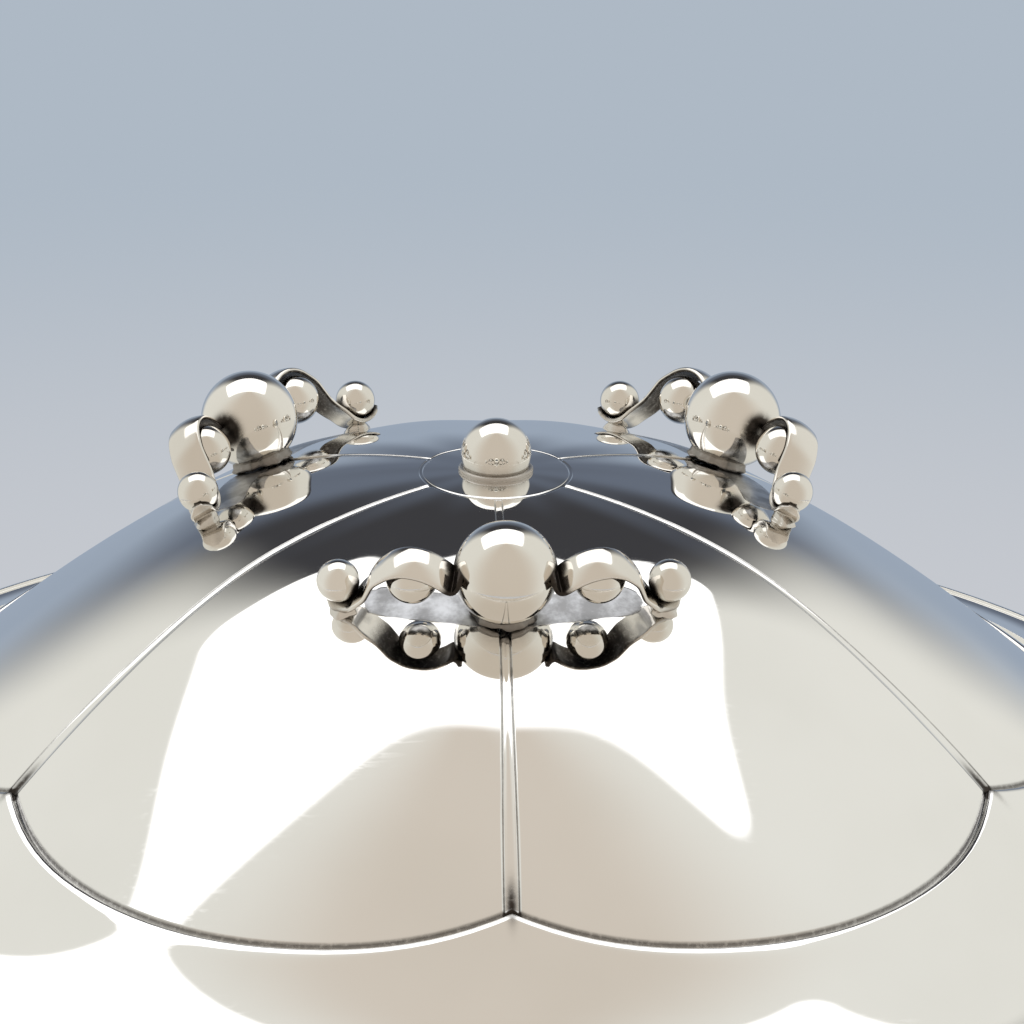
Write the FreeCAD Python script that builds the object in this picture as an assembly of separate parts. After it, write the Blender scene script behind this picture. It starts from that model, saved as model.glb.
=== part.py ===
import FreeCAD, Part

import math
import os

from FreeCAD import Vector

# Covered silver sugar bowl, millimetres, +Z up.
# The origin is the centre of the circle on which the foot ring stands.
# The front ornament points along -Y, the other two are turned by 120 degrees either way.

# ---------------------------------------------------------------- driving dimensions
SHEET = 1.0                 # thickness of the raised silver sheet
CLEARANCE = 0.1             # play between the lid and the bowl
OVERLAP = 0.5               # tools reach this far past the face they cut
SLOPE_SHEET = 1.2           # the sheet measured upright on the sloping shoulder

# foot ring
FOOT_RADIUS = 28.0
FOOT_LIP = 1.2              # height of its plain lower edge
FOOT_WAIST_RADIUS = 25.1
FOOT_WAIST_Z = 3.4
FOOT_TOP_RADIUS = 25.5
FOOT_TOP_Z = 9.0            # its wall runs up to the bowl and is trimmed there
FOOT_WALL = 2.2
FOOT_THIN = 0.6             # the wall is this much thicker at the waist and at the lip

# bowl: the lower half of a flattened ball
MOUTH_Z = 49.8
BOWL_RADIUS = 61.5
BOWL_BOTTOM_Z = 4.6
RIM_WIRE_RADIUS = 1.3       # half-round wire along each edge

# lid: petal dome inside the scalloped outline, smooth shoulder outside it that flares to the edge
LID_RADIUS = 62.0
LID_EDGE_Z = MOUTH_Z + CLEARANCE
APEX_Z = 80.6
DOME_SPAN = 45.2            # the dome's fall is a sum of even powers of radius / DOME_SPAN
DOME_POWERS = (12.29, 12.55, -5.47)
CUSP_RADIUS = 43.8          # where two lobes of the petal outline meet
LOBE_RADIUS = 47.6          # furthest reach of a lobe
SHOULDER = (                # radius and fall from the apex, along a lobe's middle
    (LOBE_RADIUS, 22.1), (51.0, 23.4), (55.0, 25.4), (58.5, 27.1), (LID_RADIUS, 28.3),
)
NECK_RADIUS = 42.8          # under the petals the shoulder ends here
PETALS = 6
PETAL_STEP = 0.6            # height of a petal's edge over the shoulder
GROOVE_WIDTH = 1.2
GROOVE_DEPTH = 0.35
RING_RADIUS = 6.0           # chased ring round the finial
BEZEL_RADIUS = BOWL_RADIUS - SHEET - 0.55   # free of the bowl's wall down to its lower edge
BEZEL_WALL = 0.9
BEZEL_DEPTH = 4.0
BEZEL_RISE = 1.1            # it ends this high over the lid's edge, against the sheet
BEZEL_FLANGE = 0.7

# finial in the middle of the lid
FINIAL_RADIUS = 2.83
FINIAL_RISE = 1.4           # centre of the ball over the dome's apex
FINIAL_COLLAR_RADIUS = 2.75
FINIAL_COLLAR_WIRE = 0.35

# ornaments: one large ball with a scrolled strap on each side
ORNAMENT_AZIMUTHS = {"front": -90.0, "right": 30.0, "left": 150.0}
LARGE_BALL_RADIUS = 3.97
LARGE_BALL_ORBIT = 22.95    # distance of the ball's centre from the lid's axis
LARGE_BALL_RISE = 0.17      # and its height over the dome's apex
COLLAR_RADIUS = 2.2
COLLAR_WIRE = 0.5
COLLAR_SINK = 0.45          # the collar's middle line lies this far over the ball's lowest point
STRAP_WIDTH = 2.9
STRAP_THICKNESS = 0.38
STRAP_TILT = 32.0           # the straps lean outward, nearly square to the dome
STRAP_TURN = 26.0           # the strap's plane is turned this far round the axis
MIDDLE_ANGLE = 17.3         # places of the small balls, degrees round the lid's axis
MIDDLE_ORBIT = 23.85
MIDDLE_RISE = -0.28
MIDDLE_RADIUS = 2.02
END_ANGLE = 32.1
END_ORBIT = 23.8
END_RISE = -1.56
END_RADIUS = 1.65
ARCH_RADIUS = 2.45          # middle line of the strap over the middle ball
ARCH_DROP = 0.24            # the arch's centre lies this far under the ball's
ARCH_START = 200.0          # the strap starts low against the large ball, degrees
CURL_END = 330.0            # and goes this far round under the end ball
STRAP_SHIFT = 0.45          # straps sit this far down the slope from the small balls
PAD_LENGTH = 2.0            # foot of the strap, soldered to the dome
PAD_HEIGHT = 2.2

AXIS = Vector(0, 0, 1)
ORIGIN = Vector(0, 0, 0)


# ---------------------------------------------------------------- helpers
def dome_z(radius):
    """Height of the petal dome at a distance from the axis."""
    q = (radius / DOME_SPAN) ** 2
    return APEX_Z - sum(share * q ** (i + 1) for i, share in enumerate(DOME_POWERS))


def polar(radius, degrees, height):
    angle = math.radians(degrees)
    return Vector(radius * math.cos(angle), radius * math.sin(angle), height)


def arc(start, middle, end):
    return Part.Arc(start, middle, end).toShape()


def line(start, end):
    return Part.LineSegment(start, end).toShape()


def smooth(points):
    curve = Part.BSplineCurve()
    curve.interpolate(points)
    return curve.toShape()


def revolve(edges):
    """Solid of revolution of a closed outline drawn in the XZ plane."""
    return Part.Face(Part.Wire(Part.__sortEdges__(edges))).revolve(ORIGIN, AXIS, 360)


def ring_of_wire(radius, height, wire_radius):
    return Part.makeTorus(radius, wire_radius, Vector(0, 0, height), AXIS)


def ball(centre, radius):
    return Part.makeSphere(radius, centre)


def largest_solid(shape):
    return max(shape.Solids, key=lambda solid: solid.Volume)


def outline_of_dome(steps, end, drop):
    """Points of the dome's profile from the axis to a radius, lowered by drop."""
    radii = [end * i / steps for i in range(steps + 1)]
    return [Vector(r, 0, dome_z(r) - drop) for r in radii]


def outline_of_shoulder(drop, inset):
    """Points of the shoulder's profile, lowered by drop; the last one moves in from the edge."""
    points = [Vector(radius, 0, APEX_Z - fall - drop) for radius, fall in SHOULDER]
    points[-1].x -= inset
    return points


# ---------------------------------------------------------------- bowl
def half_ellipsoid(reach, depth):
    """Solid under the plane of the mouth, round about the axis."""
    points = []
    for step in range(9):
        angle = math.radians(90.0 * step / 8)
        points.append(Vector(reach * math.cos(angle), 0, MOUTH_Z - depth * math.sin(angle)))
    centre = Vector(0, 0, MOUTH_Z)
    bottom = Vector(0, 0, MOUTH_Z - depth)
    points[-1] = bottom
    curve = Part.BSplineCurve()
    curve.interpolate(points, InitialTangent=Vector(0, 0, -1), FinalTangent=Vector(-1, 0, 0))
    return revolve([curve.toShape(), line(bottom, centre), line(centre, points[0])])


def bowl_outside():
    return half_ellipsoid(BOWL_RADIUS, MOUTH_Z - BOWL_BOTTOM_Z)


def make_bowl_body():
    inside = half_ellipsoid(BOWL_RADIUS - SHEET, MOUTH_Z - BOWL_BOTTOM_Z - SHEET)
    return largest_solid(bowl_outside().cut(inside))


def half_round_ring(inner_radius, flat_z, upward):
    """Half-round wire round an edge, its flat side against the sheet."""
    side = 1 if upward else -1
    middle_z = flat_z + side * RIM_WIRE_RADIUS
    low = Vector(inner_radius, 0, flat_z)
    high = Vector(inner_radius, 0, flat_z + side * 2 * RIM_WIRE_RADIUS)
    crest = Vector(inner_radius + RIM_WIRE_RADIUS, 0, middle_z)
    return revolve([arc(low, crest, high), line(high, low)])


def make_foot_ring():
    outer_low = Vector(FOOT_RADIUS, 0, 0)
    outer_lip = Vector(FOOT_RADIUS, 0, FOOT_LIP)
    waist = Vector(FOOT_WAIST_RADIUS, 0, FOOT_WAIST_Z)
    outer_top = Vector(FOOT_TOP_RADIUS, 0, FOOT_TOP_Z)
    inner_top = Vector(FOOT_TOP_RADIUS - FOOT_WALL, 0, FOOT_TOP_Z)
    inner_waist = Vector(FOOT_WAIST_RADIUS - FOOT_WALL - FOOT_THIN, 0, FOOT_WAIST_Z)
    inner_low = Vector(FOOT_RADIUS - FOOT_WALL - FOOT_THIN, 0, 0)
    return revolve([
        line(outer_low, outer_lip),
        arc(outer_lip, waist, outer_top),
        line(outer_top, inner_top),
        arc(inner_top, inner_waist, inner_low),
        line(inner_low, outer_low),
    ])


# ---------------------------------------------------------------- lid
def petal_outline():
    """Six equal arcs that meet in cusps, as a face."""
    edges = []
    for i in range(PETALS):
        middle = ORNAMENT_AZIMUTHS["front"] + 360.0 / PETALS * (i + 0.5)
        half = 180.0 / PETALS
        start = polar(CUSP_RADIUS, middle - half, 0)
        crest = polar(LOBE_RADIUS, middle, 0)
        end = polar(CUSP_RADIUS, middle + half, 0)
        edges.append(arc(start, crest, end))
    return Part.Face(Part.Wire(edges))


def make_lid_blank():
    """Shoulder and petal dome as one shell, still without chasing."""
    slope = outline_of_shoulder(0, 0)
    edge = slope[-1]
    edge_low = Vector(LID_RADIUS, 0, LID_EDGE_Z)
    neck = Vector(NECK_RADIUS, 0, dome_z(NECK_RADIUS) - PETAL_STEP)
    neck_axis = Vector(0, 0, neck.z)
    low_axis = Vector(0, 0, LID_EDGE_Z)
    shoulder = revolve([
        line(low_axis, edge_low),
        line(edge_low, edge),
        smooth(slope),
        line(slope[0], neck),
        line(neck, neck_axis),
        line(neck_axis, low_axis),
    ])
    top = outline_of_dome(8, LOBE_RADIUS + OVERLAP, 0)
    floor_edge = Vector(top[-1].x, 0, dome_z(LOBE_RADIUS) - 3 * SHEET)
    floor_axis = Vector(0, 0, floor_edge.z)
    dome = revolve([
        smooth(top),
        line(top[-1], floor_edge),
        line(floor_edge, floor_axis),
        line(floor_axis, top[0]),
    ])
    prism = petal_outline().extrude(Vector(0, 0, APEX_Z + OVERLAP))
    return shoulder.fuse(dome.common(prism))


def lid_hollow():
    """The space under the sheet, from the dome's inner face down past the edge."""
    top = outline_of_dome(6, NECK_RADIUS, SHEET)
    slope = outline_of_shoulder(SHEET * SLOPE_SHEET, SHEET)
    edge_low = Vector(LID_RADIUS - SHEET, 0, LID_EDGE_Z - OVERLAP)
    axis_low = Vector(0, 0, LID_EDGE_Z - OVERLAP)
    return revolve([
        smooth(top),
        line(top[-1], slope[0]),
        smooth(slope),
        line(slope[-1], edge_low),
        line(edge_low, axis_low),
        line(axis_low, top[0]),
    ])


def groove_radius():
    """Radius of the round tool that leaves a groove of the stated width and depth."""
    return (GROOVE_WIDTH ** 2 / 4 + GROOVE_DEPTH ** 2) / (2 * GROOVE_DEPTH)


def radial_groove(azimuth):
    """A bent round bar that follows the dome from the ring to a cusp."""
    tool = groove_radius()
    lift = tool - GROOVE_DEPTH
    end = CUSP_RADIUS + OVERLAP
    radii = [RING_RADIUS, (RING_RADIUS + CUSP_RADIUS) / 2, end]
    points = [Vector(r, 0, dome_z(r) + lift) for r in radii]
    path = Part.Wire([arc(points[0], points[1], points[2])])
    first = path.Edges[0]
    along = first.tangentAt(first.FirstParameter)
    section = Part.Wire([Part.Circle(points[0], along, tool).toShape()])
    bar = path.makePipeShell([section], True, False)
    bar.rotate(ORIGIN, AXIS, azimuth)
    return bar


def make_lid_shell():
    shell = make_lid_blank().cut(lid_hollow())
    for i in range(PETALS):
        shell = shell.cut(radial_groove(ORNAMENT_AZIMUTHS["front"] + 360.0 / PETALS * i))
    ring_z = dome_z(RING_RADIUS) + groove_radius() - GROOVE_DEPTH
    return largest_solid(shell.cut(ring_of_wire(RING_RADIUS, ring_z, groove_radius())))


def make_lid_bezel():
    """Band that centres the lid in the bowl's mouth, with a flange under the lid's edge."""
    low = LID_EDGE_Z - BEZEL_DEPTH
    high = LID_EDGE_Z + BEZEL_RISE
    flange_z = LID_EDGE_Z + BEZEL_FLANGE
    inner = BEZEL_RADIUS - BEZEL_WALL
    flange = LID_RADIUS - SHEET
    corners = [
        (inner, low), (BEZEL_RADIUS, low), (BEZEL_RADIUS, LID_EDGE_Z), (flange, LID_EDGE_Z),
        (flange, flange_z), (BEZEL_RADIUS, high), (inner, high),
    ]
    points = [Vector(radius, 0, z) for radius, z in corners]
    return revolve([line(start, end) for start, end in zip(points, points[1:] + points[:1])])


# ---------------------------------------------------------------- ornaments
def strap_frame(azimuth, side):
    """Along the strap, square to the dome, down the slope; all unit vectors."""
    turned = math.radians(azimuth + side * STRAP_TURN)
    tilt = math.radians(STRAP_TILT)
    outward = Vector(math.cos(turned), math.sin(turned), 0)
    along = Vector(-math.sin(turned), math.cos(turned), 0) * side
    up = outward * math.sin(tilt) + AXIS * math.cos(tilt)
    down_slope = outward * math.cos(tilt) - AXIS * math.sin(tilt)
    return along, up, down_slope


def flat_arc(centre, radius, start, end):
    """Arc in the strap's own plane; angles in degrees, the shorter way by halves."""
    angles = [math.radians(a) for a in (start, (start + end) / 2, end)]
    return arc(*[centre + Vector(math.cos(a), math.sin(a), 0) * radius for a in angles])


def strap_side(offset, arch_centre, end, curl_radius):
    """One face line of the strap: over the middle ball, then under the end ball."""
    reach = end - arch_centre
    lean = math.degrees(math.atan2(reach.y, reach.x))
    cross = math.degrees(math.acos((ARCH_RADIUS + curl_radius) / reach.Length))
    arch = flat_arc(arch_centre, ARCH_RADIUS + offset, ARCH_START, lean + cross)
    curl = flat_arc(end, curl_radius - offset, lean + cross + 180.0, CURL_END)
    bridge = line(arch.lastVertex().Point, curl.firstVertex().Point)
    return [arch, bridge, curl]


def make_strap(azimuth, side, middle, end):
    """Ribbon of silver bent in an S, with a pad where it is soldered to the dome."""
    along, up, down_slope = strap_frame(azimuth, side)
    frame = FreeCAD.Matrix(
        along.x, up.x, down_slope.x, middle.x,
        along.y, up.y, down_slope.y, middle.y,
        along.z, up.z, down_slope.z, middle.z,
        0, 0, 0, 1,
    )
    reach = end - middle
    local_end = Vector(reach.dot(along), reach.dot(up), 0)
    half = STRAP_THICKNESS / 2
    arch_centre = Vector(0, -ARCH_DROP, 0)
    outer = strap_side(half, arch_centre, local_end, END_RADIUS + half)
    inner = strap_side(-half, arch_centre, local_end, END_RADIUS + half)
    caps = [
        line(outer[0].firstVertex().Point, inner[0].firstVertex().Point),
        line(outer[-1].lastVertex().Point, inner[-1].lastVertex().Point),
    ]
    ribbon = Part.Face(Part.Wire(Part.__sortEdges__(outer + inner + caps)))
    ribbon = ribbon.extrude(Vector(0, 0, STRAP_WIDTH))
    ribbon.translate(Vector(0, 0, STRAP_SHIFT - STRAP_WIDTH / 2))
    pad = Part.makeBox(PAD_LENGTH, PAD_HEIGHT, STRAP_WIDTH)
    pad_low = local_end.y - END_RADIUS - PAD_HEIGHT
    pad.translate(Vector(local_end.x - PAD_LENGTH / 2, pad_low, STRAP_SHIFT - STRAP_WIDTH / 2))
    solid = ribbon.fuse(pad)
    return solid.transformGeometry(frame)


def make_ornament(name, azimuth, dome):
    """All pieces of one ornament, each trimmed to seat on its neighbours."""
    pieces = {}
    centre = polar(LARGE_BALL_ORBIT, azimuth, APEX_Z + LARGE_BALL_RISE)
    large = ball(centre, LARGE_BALL_RADIUS).cut(dome)
    pieces[name + "_large_ball"] = large
    slope = math.degrees(math.atan((dome_z(LARGE_BALL_ORBIT - 1) - dome_z(LARGE_BALL_ORBIT + 1)) / 2))
    normal = polar(math.sin(math.radians(slope)), azimuth, math.cos(math.radians(slope)))
    foot = centre - normal * (LARGE_BALL_RADIUS - COLLAR_SINK)
    collar = Part.makeTorus(COLLAR_RADIUS, COLLAR_WIRE, foot, normal)
    pieces[name + "_ball_collar"] = largest_solid(collar.cut(dome).cut(large))
    for label, side in (("a", -1), ("b", 1)):
        middle = polar(MIDDLE_ORBIT, azimuth + side * MIDDLE_ANGLE, APEX_Z + MIDDLE_RISE)
        end = polar(END_ORBIT, azimuth + side * END_ANGLE, APEX_Z + END_RISE)
        middle_ball = ball(middle, MIDDLE_RADIUS)
        end_ball = ball(end, END_RADIUS)
        strap = make_strap(azimuth, side, middle, end)
        for neighbour in (large, middle_ball, end_ball, dome):
            strap = strap.cut(neighbour)
        pieces[name + "_strap_" + label] = largest_solid(strap)
        pieces[name + "_middle_ball_" + label] = middle_ball.cut(large)
        pieces[name + "_end_ball_" + label] = end_ball
    return pieces


def make_finial(dome):
    centre = Vector(0, 0, APEX_Z + FINIAL_RISE)
    collar_z = dome_z(FINIAL_COLLAR_RADIUS) + FINIAL_COLLAR_WIRE / 2
    finial_ball = ball(centre, FINIAL_RADIUS).cut(dome)
    collar = ring_of_wire(FINIAL_COLLAR_RADIUS, collar_z, FINIAL_COLLAR_WIRE)
    return {
        "finial_ball": largest_solid(finial_ball),
        "finial_collar": largest_solid(collar.cut(dome).cut(finial_ball)),
    }


# ---------------------------------------------------------------- assembly
def make_parts():
    parts = {}
    bowl = make_bowl_body()
    parts["bowl_body"] = bowl
    parts["bowl_rim_wire"] = half_round_ring(BOWL_RADIUS, MOUTH_Z, False).cut(bowl)
    parts["foot_ring"] = largest_solid(make_foot_ring().cut(bowl_outside()))
    shell = make_lid_shell()
    parts["lid_shell"] = shell
    parts["lid_rim_wire"] = half_round_ring(LID_RADIUS, LID_EDGE_Z, True).cut(shell)
    parts["lid_bezel"] = make_lid_bezel().cut(shell)
    parts.update(make_finial(shell))
    for name, azimuth in ORNAMENT_AZIMUTHS.items():
        parts.update(make_ornament(name, azimuth, shell))
    return parts


os.makedirs("parts", exist_ok=True)
for node, shape in make_parts().items():
    shape.exportStep("parts/" + node + ".step")
    print(node, len(shape.Solids), shape.isValid(), round(shape.Volume, 2))
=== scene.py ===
import math

import bmesh
import bpy
import numpy as np
from mathutils import Matrix, Vector


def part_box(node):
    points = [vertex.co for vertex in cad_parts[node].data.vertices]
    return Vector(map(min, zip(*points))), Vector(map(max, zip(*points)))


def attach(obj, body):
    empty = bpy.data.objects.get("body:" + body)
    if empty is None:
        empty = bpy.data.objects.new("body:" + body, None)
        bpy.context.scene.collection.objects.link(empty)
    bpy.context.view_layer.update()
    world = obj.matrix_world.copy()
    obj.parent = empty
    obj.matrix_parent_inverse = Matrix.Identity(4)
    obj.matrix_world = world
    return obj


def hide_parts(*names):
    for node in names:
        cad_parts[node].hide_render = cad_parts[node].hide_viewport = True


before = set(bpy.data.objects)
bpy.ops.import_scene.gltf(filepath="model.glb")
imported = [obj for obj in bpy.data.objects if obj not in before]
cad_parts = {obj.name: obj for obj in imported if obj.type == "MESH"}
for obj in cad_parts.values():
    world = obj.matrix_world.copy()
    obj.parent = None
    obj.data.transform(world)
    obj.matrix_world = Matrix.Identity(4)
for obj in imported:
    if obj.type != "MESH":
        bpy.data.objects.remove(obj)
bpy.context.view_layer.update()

MM = 0.001

# Lengths in this file are millimetres; meshes are scaled to metres when they are made.

# ---------------------------------------------------------------- sizes shared with the CAD
APEX_Z = 80.6
SHEET = 1.0
DOME_SPAN = 45.2            # at this radius the dome has fallen by the sum of the next three
DOME_POWERS = (12.29, 12.55, -5.47)     # which go with the second, fourth and sixth power of the radius
BRIM_Z = 52.3               # height of the outer face at the lid's edge
# Radius and height of points of the shoulder's inner face.
SHOULDER_INSIDE = ((47.6, 57.3), (51.0, 56.0), (55.0, 54.0), (58.5, 52.3), (61.0, 51.2))
CUSP_RADIUS = 43.3          # scalloped border where two petals meet
LOBE_RADIUS = 47.4          # and in the middle of a petal
RING_RADIUS = 6.0
PETALS = 6
FRONT = -90.0
ORNAMENTS = {"front": -90.0, "right": 30.0, "left": 150.0}     # azimuths in degrees
LARGE_RADIUS = 3.97
MIDDLE_RADIUS = 2.02
END_RADIUS = 1.65
STRAP_TILT = 32.0
STRAP_WIDTH = 2.9
STRAP_THICKNESS = 0.38
FINIAL_RADIUS = 2.83

LID_LOW, LID_HIGH = (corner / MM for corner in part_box("lid_shell"))
LID_RADIUS = LID_HIGH.x
LID_EDGE_Z = LID_LOW.z
BOWL_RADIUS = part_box("bowl_body")[1].x / MM
BEZEL_RADIUS = 59.95
BEZEL_WALL = 0.9


# ---------------------------------------------------------------- camera
# It looks from in front and above, past the lid's apex by the two offsets in its own picture plane.
CAMERA_ELEVATION = math.radians(20.75)
CAMERA_TURN = math.radians(-2.31)
CAMERA_ROLL = math.radians(0.81)
CAMERA_DISTANCE = 383.6
CAMERA_ASIDE = 1.29
CAMERA_DOWN = 3.40
CAMERA_LENS = 168.6


def add_camera():
    sideways = Vector((1, 0, 0))
    upward = Vector((0, math.sin(CAMERA_ELEVATION), math.cos(CAMERA_ELEVATION)))
    back = Vector((0, -math.cos(CAMERA_ELEVATION), math.sin(CAMERA_ELEVATION)))
    right = sideways * math.cos(CAMERA_ROLL) + upward * math.sin(CAMERA_ROLL)
    up = upward * math.cos(CAMERA_ROLL) - sideways * math.sin(CAMERA_ROLL)
    place = back * CAMERA_DISTANCE + right * CAMERA_ASIDE - up * CAMERA_DOWN
    turn = Matrix.Rotation(CAMERA_TURN, 3, "Z")
    axes = turn @ Matrix((right, up, back)).transposed()
    data = bpy.data.cameras.new("camera")
    data.lens = CAMERA_LENS
    data.clip_start = 0.01
    camera = bpy.data.objects.new("camera", data)
    bpy.context.scene.collection.objects.link(camera)
    apex = Vector((0, 0, APEX_Z))
    camera.matrix_world = Matrix.Translation((apex + turn @ place) * MM) @ axes.to_4x4()
    bpy.context.scene.camera = camera


# ---------------------------------------------------------------- node graphs
class Graph:
    """Short forms for building a node tree; a value is a number or another node's output."""

    def __init__(self, tree):
        self.tree = tree

    def node(self, kind, inputs=None, **settings):
        node = self.tree.nodes.new(kind)
        for name, value in settings.items():
            setattr(node, name, value)
        for name, value in (inputs or {}).items():
            self.join(value, node.inputs[name])
        return node

    def join(self, value, socket):
        if isinstance(value, bpy.types.NodeSocket):
            self.tree.links.new(value, socket)
        elif isinstance(value, tuple) and len(value) == 3 and socket.type == "RGBA":
            socket.default_value = (*value, 1.0)
        else:
            socket.default_value = value

    def math(self, operation, a, b=0.0):
        return self.node("ShaderNodeMath", {0: a, 1: b}, operation=operation).outputs[0]

    def ramp(self, value, low, high, to=(0.0, 1.0)):
        """Smooth step of a value between low and high."""
        inputs = {"Value": value, "From Min": low, "From Max": high, "To Min": to[0], "To Max": to[1]}
        return self.node("ShaderNodeMapRange", inputs, interpolation_type="SMOOTHSTEP").outputs[0]

    def mix(self, factor, a, b):
        inputs = {"Factor": factor, 6: a, 7: b}
        return self.node("ShaderNodeMix", inputs, data_type="RGBA").outputs[2]

    def blend(self, factor, a, b):
        return self.node("ShaderNodeMix", {"Factor": factor, 2: a, 3: b}, data_type="FLOAT").outputs[0]

    def noise(self, vector, scale, detail=2.0, roughness=0.5):
        inputs = {"Vector": vector, "Scale": scale, "Detail": detail, "Roughness": roughness}
        return self.node("ShaderNodeTexNoise", inputs).outputs["Fac"]

    def stretch(self, vector, scale, turn=(0.0, 0.0, 0.0)):
        inputs = {"Vector": vector, "Scale": scale, "Rotation": turn}
        return self.node("ShaderNodeMapping", inputs).outputs[0]

    def attribute(self, name):
        return self.node("ShaderNodeAttribute", attribute_name=name).outputs["Fac"]

    def bump(self, height, strength, distance, normal=None):
        inputs = {"Height": height, "Strength": strength, "Distance": distance * MM}
        if normal is not None:
            inputs["Normal"] = normal
        return self.node("ShaderNodeBump", inputs).outputs[0]


def tone(red, green, blue, gain=1.0):
    """Linear colour from display values of 0 to 255."""
    out = []
    for value in (red, green, blue):
        v = value / 255.0
        out.append(gain * (v / 12.92 if v <= 0.04045 else ((v + 0.055) / 1.055) ** 2.4))
    return tuple(out)


# ---------------------------------------------------------------- studio
SILVER_GAIN = 1 / 0.93                  # light that gives a tone after silver has taken its share
WALL_FRONT = tone(203, 194, 182, SILVER_GAIN)
WALL_SIDE = tone(222, 221, 214, SILVER_GAIN)
BACK_LOW = tone(150, 162, 178, SILVER_GAIN)
BACK_MIDDLE = tone(98, 106, 120, SILVER_GAIN)
BACK_HIGH = tone(59, 59, 62, SILVER_GAIN)
TO_SIDE = (-0.9, 0.1)                   # headings between tones: -1 is straight in front, 1 straight behind
TO_BACK = (0.72, 0.95)
BACK_RISE = (0.03, 0.30, 0.56)          # sines of elevation between the back's tones
SOFTBOX = (-0.9, 0.6, -0.03, 0.95)      # left, right, near and far edge, per unit of height above the bowl
SOFTBOX_CORNER = 0.10
SOFTBOX_EDGE = 0.012
SOFTBOX_LIGHT = (1.5, 1.49, 1.47)
SOFTBOX_LOW = (0.2, 0.3)                # it fades out towards the horizon
LEAST_HEIGHT = 0.02
LEAST_LEVEL = 0.001


def add_world():
    """Plain soft studio light: one large softbox overhead, between soft walls that go from warm and
    light in front to cool and dim behind."""
    world = bpy.data.worlds.new("studio")
    bpy.context.scene.world = world
    world.use_nodes = True
    world.node_tree.nodes.clear()
    g = Graph(world.node_tree)
    direction = g.node("ShaderNodeTexCoord").outputs["Generated"]
    x, y, z = g.node("ShaderNodeSeparateXYZ", {0: direction}).outputs
    height = g.math("MAXIMUM", z, LEAST_HEIGHT)
    level = g.math("SQRT", g.math("ADD", g.math("MULTIPLY", x, x), g.math("MULTIPLY", y, y)))
    heading = g.math("DIVIDE", y, g.math("MAXIMUM", level, LEAST_LEVEL))

    walls = g.mix(g.ramp(heading, *TO_SIDE), WALL_FRONT, WALL_SIDE)
    back = g.mix(g.ramp(z, *BACK_RISE[:2]), BACK_LOW, BACK_MIDDLE)
    back = g.mix(g.ramp(z, *BACK_RISE[1:]), back, BACK_HIGH)
    walls = g.mix(g.ramp(heading, *TO_BACK), walls, back)

    left, right, near, far = SOFTBOX
    squares = []
    for axis, low, high in ((x, left, right), (y, near, far)):
        off = g.math("ABSOLUTE", g.math("SUBTRACT", g.math("DIVIDE", axis, height), (low + high) / 2))
        off = g.math("MAXIMUM", g.math("SUBTRACT", off, (high - low) / 2 - SOFTBOX_CORNER), 0.0)
        squares.append(g.math("MULTIPLY", off, off))
    reach = g.math("SQRT", g.math("ADD", *squares))
    lit = g.ramp(reach, SOFTBOX_CORNER - SOFTBOX_EDGE, SOFTBOX_CORNER + SOFTBOX_EDGE, (1.0, 0.0))
    light = g.mix(g.math("MULTIPLY", lit, g.ramp(z, *SOFTBOX_LOW)), walls, SOFTBOX_LIGHT)
    background = g.node("ShaderNodeBackground", {"Color": light, "Strength": 1.0})
    g.node("ShaderNodeOutputWorld", {"Surface": background.outputs[0]})


FLOOR_NEAR = 150.0
FLOOR_REACH = 1600.0
WALL_BEND = 400.0
WALL_HEIGHT = 1500.0
STAGE_COLUMNS = 96
PAPER_TONES = (tone(222, 227, 236), tone(180, 186, 194))
PAPER_GRAIN = 900.0                     # per metre
PAPER_END = (110.0, 190.0)              # from the foot outwards the paper gives way to an even glow
GLOW_TONES = (tone(198, 201, 207), tone(174, 185, 197))
GLOW_FADE = (160.0, 360.0)


def add_stage():
    """Pale floor that sweeps up into a pale wall far away. Only the disc round the foot is mirrored."""
    material = bpy.data.materials.new("studio_floor")
    material.use_nodes = True
    material.node_tree.nodes.clear()
    g = Graph(material.node_tree)
    place = g.node("ShaderNodeTexCoord").outputs["Object"]
    distance = g.node("ShaderNodeVectorMath", {0: place}, operation="LENGTH").outputs["Value"]
    grain = g.noise(place, PAPER_GRAIN, 3.0)
    albedo = g.mix(g.math("MULTIPLY", grain, 0.05), *PAPER_TONES)
    paper = g.node("ShaderNodeBsdfPrincipled", {
        "Base Color": albedo, "Roughness": g.blend(grain, 0.75, 0.9), "Normal": g.bump(grain, 0.15, 0.05),
    })
    light = g.mix(g.ramp(distance, *(edge * MM for edge in GLOW_FADE)), *GLOW_TONES)
    glow = g.node("ShaderNodeEmission", {"Color": light, "Strength": 1.0})
    surface = g.node("ShaderNodeMixShader", {
        0: g.ramp(distance, *(edge * MM for edge in PAPER_END)), 1: paper.outputs[0], 2: glow.outputs[0],
    })
    g.node("ShaderNodeOutputMaterial", {"Surface": surface.outputs[0]})
    turn = np.linspace(0, 2 * math.pi, STAGE_COLUMNS, endpoint=False)
    near = [(r, 0.0) for r in np.linspace(0, FLOOR_NEAR, 9)]
    far = [(r, 0.0) for r in np.geomspace(FLOOR_NEAR, FLOOR_REACH, 32)]
    far += [(FLOOR_REACH + WALL_BEND * math.sin(a), WALL_BEND - WALL_BEND * math.cos(a))
            for a in np.linspace(0, math.pi / 2, 16)[1:]]
    far.append((FLOOR_REACH + WALL_BEND, WALL_HEIGHT))
    revolved("studio_floor_disc", near, turn, material, closed=False)
    sweep = revolved("studio_floor_sweep", far, turn, material, closed=False)
    sweep.visible_glossy = False
    sweep.visible_diffuse = False
    sweep.visible_shadow = False


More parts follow.
